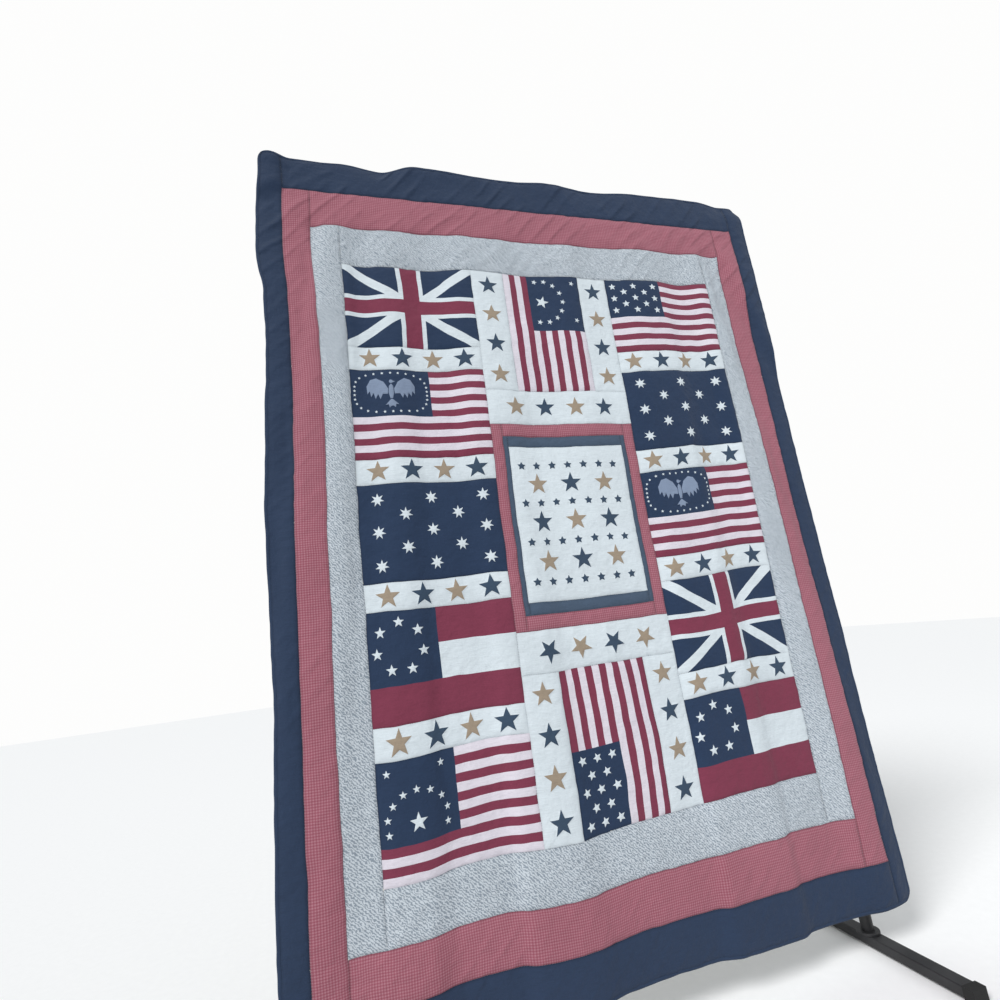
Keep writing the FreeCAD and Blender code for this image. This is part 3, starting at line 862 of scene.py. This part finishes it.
COTTONS = {                      # display colour, painted shade at the seams, depth of slanting creases
    "white": ((226, 236, 242), 0.86), "stripe_white": ((232, 226, 236), 0.86),
    "navy": ((43, 61, 89), 0.7), "border_navy": ((47, 63, 89), 0.6, 0.006),
    "frame_navy": ((78, 95, 116), 0.7), "star_navy": ((62, 81, 102),), "red": ((133, 60, 82),),
    "tan": ((167, 151, 132),), "pale_blue": ((140, 156, 182),),
    "backing": ((226, 224, 212), 0.93),
}
CLOTHS = {name: cotton(name, *finish) for name, finish in COTTONS.items()}
CLOTHS["gingham"] = gingham(
    "red_gingham", colour(151, 83, 98), colour(165, 101, 115), colour(180, 125, 137)
)
CLOTHS["print"] = squiggle_print("grey_print", colour(207, 215, 222), colour(146, 157, 168))
STITCH_THREAD = thread("quilting_thread", colour(118, 122, 132))
SLEEVE_THREAD = thread("sleeve_thread", colour(226, 222, 208))
BATTING = fibres(
    "batting_cotton", colour(236, 233, 222), (260.0, 5.0, 0.7), (0.3, 0.85), (0.8, 0.0015),
    Sheen_Weight=0.5, Roughness=1.0,
)


# ---- patches --------------------------------------------------------------------------------
def turned(rect, quarter):
    """Size of a block before it is turned, and the map from its places to flat places."""
    x0, x1, z0, z1 = rect
    w, h = x1 - x0, z1 - z0
    maps = {
        0: (w, h, lambda u, v: (x0 + u, z1 - v)),
        1: (h, w, lambda u, v: (x1 - v, z1 - u)),
        2: (w, h, lambda u, v: (x1 - u, z0 + v)),
        3: (h, w, lambda u, v: (x0 + v, z0 + u)),
    }
    return maps[quarter]


def scaled(outline, share):
    """The outline made smaller or larger about its middle."""
    middle = np.mean(outline, axis=0)
    return [tuple(middle + share * (np.array(p) - middle)) for p in outline]


def shrunk(outline, rim):
    """The outline drawn in towards its middle by about rim."""
    middle = np.mean(outline, axis=0)
    size = max(math.dist(middle, p) for p in outline)
    return scaled(outline, 1 - min(0.4, 1.6 * rim / size))


def triangulated(rect, outlines):
    """Flat places and triangles that fill rect, with an edge along every run of the outlines."""
    starts, ends = [], []
    for outline in outlines:
        points = divided(outline, TOP_STEP)
        starts += points
        ends += points[1:] + points[:1]
    grid = grid_of(between(*rect[:2], TOP_STEP), between(*rect[2:], TOP_STEP))
    if starts:
        on_edge = (from_seams(grid, rect) < 1e-9).any(axis=0)
        clear = beside(grid, np.array(starts), np.array(ends)) > 0.25 * TOP_STEP
        grid = grid[clear | on_edge]
    index = {p: len(grid) + k for k, p in reversed(list(enumerate(starts)))}
    edges = [(index[a], index[b]) for a, b in zip(starts, ends)]
    points = [Vector(p) for p in grid.tolist() + starts]
    found = delaunay_2d_cdt(points, edges, [], 0, 1e-6, False)
    flat, triangles = np.array([tuple(p) for p in found[0]]), np.array(found[2])
    a, b, c = (flat[triangles[:, k]] for k in range(3))
    area = (b[:, 0] - a[:, 0]) * (c[:, 1] - a[:, 1]) - (b[:, 1] - a[:, 1]) * (c[:, 0] - a[:, 0])
    triangles[area < 0] = triangles[area < 0][:, ::-1]
    return flat, triangles[abs(area) > 1e-10]


def sew_on(made, node):
    """The piece hangs with the quilt and stands for its plain solid."""
    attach(made, "hung_quilt")
    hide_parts(node)


def patch(name, node, rect, pattern, quarter, slot):
    """One patch of the pieced top, with its printed or pieced shapes and raised applique."""
    w, h, place = turned(rect, quarter)
    ground, pieced, raised = pattern(w, h)
    outlines = [(cloth, [place(*p) for p in outline]) for cloth, outline in pieced + raised]
    tops = [shrunk(outline, APPLIQUE_RIM) for _, outline in outlines[len(pieced):]]
    flat, triangles = triangulated(rect, [outline for _, outline in outlines] + tops)
    cloths = list(dict.fromkeys([ground] + [cloth for cloth, _ in outlines]))
    middles = flat[triangles].mean(axis=1)
    slots = np.zeros(len(triangles), int)
    for cloth, outline in outlines:
        slots[inside(outline, middles)] = cloths.index(cloth)
    raised_by = np.zeros(len(flat))
    for outline in tops:
        raised_by[inside(scaled(outline, 1.002), flat)] = APPLIQUE
    front = SEAM_HALF + relief(flat, rect)
    made = shell(
        "quilt." + name, flat, triangles, front + raised_by, front - CLOTH_T,
        [CLOTHS[cloth] for cloth in cloths], seam_depth(flat, rect), slots,
    )
    sew_on(made, node)


BLOCKS = {
    "cross_flag_left": (cross_flag, 0), "bird_flag_left": (bird_flag, 0),
    "star_block_left": (star_block, 0), "ring_flag_left": (ring_flag, 0),
    "arch_flag_left": (arch_flag, 0), "stripes_flag_right": (stripes_flag, 0),
    "star_block_right": (star_block, 0), "bird_flag_right": (bird_flag, 0),
    "cross_flag_right": (cross_flag, 0), "ring_flag_right": (ring_flag, 0),
    "turned_arch_flag": (arch_flag, 1), "turned_stripes_flag": (stripes_flag, 3),
}
TAN_FIRST, NAVY_FIRST = ("tan", "star_navy") * 2, ("star_navy", "tan") * 2
SASHES = (                       # node, name of each strip, each strip's pattern and turns
    ("star_sashes_left", "star_sash_left", [(star_strip(TAN_FIRST, 0.95, 0.51), 0)] * 4),
    ("star_sashes_right", "star_sash_right", [(star_strip(TAN_FIRST), 0)] * 4),
    ("upright_sashes", "upright_sash",
     [(star_strip(NAVY_FIRST), 0)] * 2 + [(star_strip(TAN_FIRST), 0)] * 2),
    ("wide_sashes", "wide_sash", [(star_strip(TAN_FIRST, 0.84), turns) for turns in (0, 2)]),
)
FRAMES = (                       # node, what it frames, cloth, slot
    ("centre_gingham_frame", "centre_navy_frame", "gingham", "red_gingham"),
    ("centre_navy_frame", "centre_star_panel", "frame_navy", "navy_cotton"),
)
BORDERS = (
    ("print_border", "print", "grey_print_cotton"),
    ("gingham_border", "gingham", "red_gingham"),
    ("navy_border", "border_navy", "navy_cotton"),
)


def frame_strips(outer, inner):
    """The four butted strips between two rectangles; the side strips run the full height."""
    return {
        "left": (outer[0], inner[0], outer[2], outer[3]),
        "right": (inner[1], outer[1], outer[2], outer[3]),
        "top": (inner[0], inner[1], inner[3], outer[3]),
        "bottom": (inner[0], inner[1], outer[2], inner[2]),
    }


def all_patches():
    """(piece, node, rectangle, pattern, quarter turns, slot) of every patch of the top."""
    rows = []

    def whole(node, pattern, quarter, slot):
        rows.append((node, node, rect_of(node), pattern, quarter, slot))

    for node, (pattern, quarter) in BLOCKS.items():
        whole(node, pattern, quarter, "patchwork_cotton")
    for node, label, patterns in SASHES:
        for k, (rect, (pattern, quarter)) in enumerate(zip(solids_of(node), patterns), 1):
            rows.append((f"{label}_{k}", node, rect, pattern, quarter, "white_cotton"))
    for node, inner, cloth, slot in FRAMES:
        for side, rect in frame_strips(rect_of(node), rect_of(inner)).items():
            rows.append((f"{node}_{side}", node, rect, plain(cloth), 0, slot))
    whole("centre_star_panel", star_panel, 0, "white_cotton")
    for label, cloth, slot in BORDERS:
        for side in ("left", "right", "top", "bottom"):
            whole(f"{label}_{side}", plain(cloth), 0, slot)
    return rows


PATCHES = all_patches()


# ---- batting, backing, binding and sleeve ---------------------------------------------------
BINDING_STEP, CORNER_CLEAR = 0.008, 0.006
SLEEVE_STEP, SLEEVE_EASE = 0.012, 0.0011
HEM_REACH = (0.016, 0.012)       # the sleeve's cloth is doubled this near its ends
NEAR_ROD = 0.05                  # a level seam this near the rod is behind the sleeve


def over_patches(measure, flat):
    """A measure of the top at any flat places, from whichever patch each lies in."""
    found = np.zeros(len(flat))
    x, z = flat.T
    for _, _, rect, *_ in PATCHES:
        here = (x >= rect[0]) & (x <= rect[1]) & (z >= rect[2]) & (z <= rect[3])
        found[here] = measure(flat[here], rect)
    return found


def seam_grid(step):
    """A grid over the whole quilt with a line on every seam."""
    axes = []
    for k in (0, 2):
        seams = sorted({round(end, 4) for row in PATCHES for end in row[2][k:k + 2]}
                       | {round(end, 4) for end in BODY[k:k + 2]})
        places = [seams[0]]
        for a, b in zip(seams, seams[1:]):
            places += np.linspace(a, b, max(1, math.ceil((b - a) / step)) + 1)[1:].tolist()
        axes.append(places)
    cells = quads(np.arange(len(axes[0]) * len(axes[1])).reshape(len(axes[0]), -1))
    return grid_of(*axes), np.concatenate([cells[:, [0, 1, 2]], cells[:, [0, 2, 3]]])


def back_swell(flat):
    """How far the backing swells between the quilting lines, and not behind the sleeve."""
    full = over_patches(relief, flat) / PILLOW
    return BACK_PILLOW * full * (1 - at_rod(*flat.T))


def batting():
    flat, triangles = seam_grid(BATTING_STEP)
    front = SEAM_HALF + 0.8 * over_patches(relief, flat) - 3 * CLOTH_T
    back = -SEAM_HALF - back_swell(flat) + 1.5 * CLOTH_T
    front = np.maximum(front, back + CLOTH_T)
    made = shell("quilt.batting", flat, triangles, front, back, [BATTING])
    sew_on(made, "batting")


def backing():
    flat, triangles = seam_grid(BACK_STEP)
    back = -SEAM_HALF - back_swell(flat)
    # the backing gets painted shade along the quilting lines as well
    made = shell(
        "quilt.backing", flat, triangles, back + CLOTH_T, back, [CLOTHS["backing"]],
        over_patches(seam_depth, flat),
    )
    sew_on(made, "backing")


def binding():
    """A folded strip round the quilt's edge, mitred at the corners."""
    front, back = SEAM_HALF, -SEAM_HALF
    width = QUILT[1] - BODY[1]
    fold = np.array([
        (-0.0030, front + 0.0006), (-0.0020, front + 0.0011), (0.0, front + 0.0016),
        (0.4 * width, front + 0.0017), (0.75 * width, front + 0.0008), (0.95 * width, 0.0008),
        (width, 0.0), (0.95 * width, -0.0008), (0.75 * width, back - 0.0008),
        (0.4 * width, back - 0.0015), (-0.0010, back - 0.0014), (-0.0040, back - 0.0004),
    ])
    lining = fold - 1.6 * CLOTH_T * aside(unit(np.gradient(fold, axis=0)))
    section = np.concatenate([fold, lining[::-1]])
    x0, x1, z0, z1 = BODY
    corners = np.array([(x0, z1), (x1, z1), (x1, z0), (x0, z0), (x0, z1)])
    ways = np.array([(-1.0, 0.0), (0.0, 1.0), (1.0, 0.0), (0.0, -1.0), (-1.0, 0.0)])
    stations = []                # the body's edge, the way out from it, and the way in to a mitre
    for k in range(4):
        for t in np.linspace(0, math.pi / 2, 6):
            out = ways[k] * math.cos(t) + ways[k + 1] * math.sin(t)
            stations.append((corners[k], out, ways[k] + ways[k + 1]))
        run = math.dist(corners[k], corners[k + 1])
        count = math.ceil(run / BINDING_STEP)
        for t in np.arange(1, count) / count:
            if CORNER_CLEAR < t * run < run - CORNER_CLEAR:
                place = corners[k] + (corners[k + 1] - corners[k]) * t
                stations.append((place, ways[k + 1], ways[k + 1]))
    core, out, mitre = np.array(stations).transpose(1, 0, 2)
    ease = 1 + 0.05 * noise(core[:, :1] / 0.03, core[:, 1:] / 0.03, 8)
    crease = 0.6 * puckers(core, 1.0, 1.0)
    rings = []
    for a, offset in section:
        flat = core + (a * ease * out if a > 0 else a * mitre)
        rings.append(hung(flat, offset + crease))
    points = np.stack(rings, axis=1)
    count, ring = points.shape[:2]
    ids = np.pad(np.arange(count * ring).reshape(count, ring), (0, 1), mode="wrap")
    run = lengths(core)
    uv = np.stack([np.repeat(run, ring), np.tile(np.linspace(0, 0.04, ring), count)], axis=1)
    cloth = [CLOTHS["border_navy"]]
    made = make_object("quilt.binding", points.reshape(-1, 3), quads(ids.T), cloth, uv)
    sew_on(made, "binding")


def sleeve_section():
    """The closed loop (y, z) of the sleeve round the rod, from its upper hem over the back."""
    radius = (ROD_HIGH.y - ROD_LOW.y) / 2 + 0.0006
    reach = (SLEEVE[3] - SLEEVE[2]) / 2
    flat_y = BACK_Y + 0.0004
    lean = 2 * math.atan2(radius, reach)
    arc = [
        (ROD_Y + radius * math.cos(t), ROD_Z + radius * math.sin(t))
        for t in np.linspace(math.pi - lean, lean - math.pi, 22)
    ]
    hem = np.array([flat_y + 0.0002, ROD_Z + reach - 0.003])
    upper = [(flat_y, ROD_Z + reach)]
    upper += [tuple(hem + share * (np.array(arc[0]) - hem)) for share in (0.0, 0.3, 0.65)]
    lower = [(y, 2 * ROD_Z - z) for y, z in upper[::-1]]
    front = [(flat_y, ROD_Z + reach * k / 5) for k in range(-4, 5)]
    return np.array(upper + arc + lower + front)


def sleeve():
    """The tube of cloth sewn to the backing that the rod goes through."""
    loop = sleeve_section()
    behind, ahead = loop - np.roll(loop, 1, axis=0), np.roll(loop, -1, axis=0) - loop
    outward = aside(unit(unit(behind) + unit(ahead)))
    free = smooth(loop[0, 0] + 0.004, loop[0, 0] + 0.014, loop[:, 0])
    xs = between(*SLEEVE[:2], SLEEVE_STEP)
    x, angle = xs[:, None], np.arctan2(loop[:, 1] - ROD_Z, loop[:, 0] - ROD_Y)
    ease = noise(x / 0.045, angle / 0.9, 9) + 0.5 * noise(x / 0.018, angle / 1.6, 10)
    cloth_t = CLOTH_T * (1 + smooth(*HEM_REACH, SLEEVE[1] - abs(x)))
    layers = []
    for thickness in (cloth_t, 0.0):
        puff = SLEEVE_EASE * (1 + ease) * free + thickness
        yz = loop + puff[..., None] * outward
        layers.append(np.dstack([np.broadcast_to(x, puff.shape), yz]))
    count, ring = len(xs), len(loop)
    size = count * ring
    ids = closed(np.arange(size).reshape(count, ring))
    outer = quads(ids.T)
    first, last = (quads(np.stack([ids[i], ids[i] + size]).T) for i in (0, -1))
    faces = np.concatenate([outer, outer[:, ::-1] + size, first[:, ::-1], last])
    run = lengths(loop)
    uv = np.tile(np.stack([np.repeat(xs, ring), np.tile(run, count)], axis=1), (2, 1))
    points = np.concatenate(layers).reshape(-1, 3)
    made = make_object("quilt.hanging_sleeve", points, faces, [CLOTHS["backing"]], uv)
    sew_on(made, "hanging_sleeve")


# ---- stitches -------------------------------------------------------------------------------
STITCH_RINGS = (                 # place along the stitch, thickness and height out of the cloth
    (-0.5, 0.25, -0.6), (-0.3, 0.8, 0.35), (0.3, 0.8, 0.35), (0.5, 0.25, -0.6),
)


def stitched(name, lines, offset, out, material):
    """Rows of separate stitches along flat lines; each dips into the cloth at both ends."""
    centres, ways = [], []
    for a, b in np.array(lines):
        run = math.dist(a, b)
        count = max(1, int(run / STITCH_PITCH))
        for k in range(count):
            centres.append(a + (b - a) * (k + 0.5) / count)
            ways.append((b - a) / run)
    centres, ways = np.array(centres), np.array(ways)
    sides = aside(ways)
    rings = []
    for along, thick, up in STITCH_RINGS:
        for s, h in ((-1, 0), (0, 1), (1, 0), (0, -1)):
            flat = centres + ways * along * STITCH_LENGTH + sides * s * thick * STITCH_WIDTH / 2
            rings.append(hung(flat, offset(flat) + out * (up + h * thick) * STITCH_WIDTH / 2))
    points = np.stack(rings, axis=1)
    one = np.arange(len(rings)).reshape(4, 4)
    one_faces = np.concatenate([[one[0], one[-1][::-1]], quads(closed(one))])
    faces = (one_faces + one.size * np.arange(len(points))[:, None, None]).reshape(-1, 4)
    if out < 0:
        faces = faces[:, ::-1]
    made = make_object(name, points.reshape(-1, 3), faces, [material])
    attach(made, "hung_quilt")


def quilting():
    """Stitches along the top and left edge of every patch, in front and behind."""
    lines = []
    for _, _, (x0, x1, z0, z1), *_ in PATCHES:
        lines += [((x0, z1), (x1, z1)), ((x0, z0), (x0, z1))]
    away = [                     # the level lines under the sleeve are left out behind
        (a, b) for a, b in lines
        if abs((a[1] + b[1]) / 2 - ROD_Z) > NEAR_ROD or a[0] == b[0]
    ]

    def on_front(flat):
        return SEAM_HALF + puckers(flat, 0.5, 0.5)

    def on_back(flat):
        return -SEAM_HALF - 0.0001

    stitched("quilt.quilting_front", lines, on_front, 1, STITCH_THREAD)
    stitched("quilt.quilting_back", away, on_back, -1, SLEEVE_THREAD)


# ---- rack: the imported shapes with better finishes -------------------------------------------
FINISHES = {
    "beech": beech("lacquered_beech"),
    "plated": metal("zinc_plate", colour(206, 208, 206), (0.28, 0.45), 0.25),
    "chrome": metal("chrome", colour(226, 228, 230), (0.08, 0.20), 0.05),
    "coat": coating("black_powder_coat", colour(34, 34, 36), (0.42, 0.62), 900.0, 0.00025),
    "nylon": coating("black_nylon", colour(38, 38, 40), (0.45, 0.60), 350.0, 0.00015),
    "rubber": coating("foot_rubber", colour(30, 30, 30), (0.75, 0.92), 220.0, 0.0003),
}
RACK = {
    "rod_left_half": "beech", "rod_right_half": "beech", "rod_ferrule": "plated",
    "rod_end_fittings": "plated", "clamp_studs": "plated", "foot_pivot_bolts": "plated",
    "tie_bar_bolts": "plated", "inner_post": "chrome", "outer_post": "coat", "tie_bar": "coat",
    "foot_bar": "coat", "clamp_collar": "nylon", "clamp_knob": "nylon", "post_guide": "nylon",
    "rod_cradle": "nylon", "foot_caps": "rubber",
}


def finish_rack():
    for node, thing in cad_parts.items():
        finish = RACK.get(node) or RACK.get(node.removesuffix("_left").removesuffix("_right"))
        if finish:
            thing.data.materials.clear()
            thing.data.materials.append(FINISHES[finish])


# ---- stage ----------------------------------------------------------------------------------
CAMERA_PLACE = Vector((-0.6591, -1.5349, 0.9483))
CAMERA_LOOK = Vector((0.2749, 0.9327, 0.2335))
CAMERA_UP = Vector((0.0548, -0.2577, 0.9647))
CAMERA_LENS = 20.5
AMBIENT, AMBIENT_STRENGTH = (0.95, 0.98, 1.0, 1.0), 0.58
BACKGROUND = (0.985, 0.985, 0.98, 1.0)
FLOOR_HALF = 14.0
FILL_PLACE, FILL_SIZE, FILL_POWER = Vector((3.2, -2.0, 2.6)), 1.8, 16.0
FILL_AIM = Vector((0.3, 0.0, 1.4))
SUN, SUN_SPREAD = 2.0, 22.0      # strength of the studio light and its softness in degrees
SUN_WAY = Vector((0.60, 0.42, -0.70))


def background():
    """A pale backdrop for the camera, and softer light from all round for the rest."""
    world = bpy.data.worlds.new("studio")
    world.use_nodes = True
    nodes, link = world.node_tree.nodes, world.node_tree.links.new
    soft = nodes["Background"]
    soft.inputs["Color"].default_value = AMBIENT
    soft.inputs["Strength"].default_value = AMBIENT_STRENGTH
    seen = nodes.new("ShaderNodeBackground")
    seen.inputs["Color"].default_value = BACKGROUND
    both = nodes.new("ShaderNodeMixShader")
    link(nodes.new("ShaderNodeLightPath").outputs["Is Camera Ray"], both.inputs[0])
    link(soft.outputs[0], both.inputs[1])
    link(seen.outputs[0], both.inputs[2])
    link(both.outputs[0], nodes["World Output"].inputs["Surface"])
    bpy.context.scene.world = world


def pale_floor():
    material = Material("pale_floor", Roughness=0.9)
    grain = material.noise(material.object_places(), 40.0, 3.0)
    material.finish(Base_Color=material.ramp(grain, (0.3, 0.92), (0.7, 0.94)))
    corners = FLOOR_HALF * np.array([(-1, -1, 0), (1, -1, 0), (1, 1, 0), (-1, 1, 0)])
    make_object("floor", corners, np.array([(0, 1, 2, 3)]), [material.made])


def light(name, kind, way, **settings):
    lamp = bpy.data.lights.new(name, kind)
    for setting, value in settings.items():
        setattr(lamp, setting, value)
    made = linked(name, lamp)
    made.rotation_euler = way.to_track_quat("-Z", "Y").to_euler()
    return made


def camera():
    made = linked("camera", bpy.data.cameras.new("camera"))
    look = CAMERA_LOOK.normalized()
    right = look.cross(CAMERA_UP).normalized()
    turn = Matrix((right, right.cross(look), -look)).transposed().to_4x4()
    made.matrix_world = Matrix.Translation(CAMERA_PLACE) @ turn
    made.data.lens = CAMERA_LENS
    made.data.clip_start = 0.05
    bpy.context.scene.camera = made


# ---- build ----------------------------------------------------------------------------------
bpy.context.scene.view_settings.view_transform = "Standard"
background()
pale_floor()
light("key", "SUN", SUN_WAY, energy=SUN, angle=math.radians(SUN_SPREAD))
fill = light("fill", "AREA", FILL_AIM - FILL_PLACE, size=FILL_SIZE, energy=FILL_POWER)
fill.location = FILL_PLACE
camera()
batting()
for row in PATCHES:
    patch(*row)
backing()
binding()
sleeve()
quilting()
finish_rack()
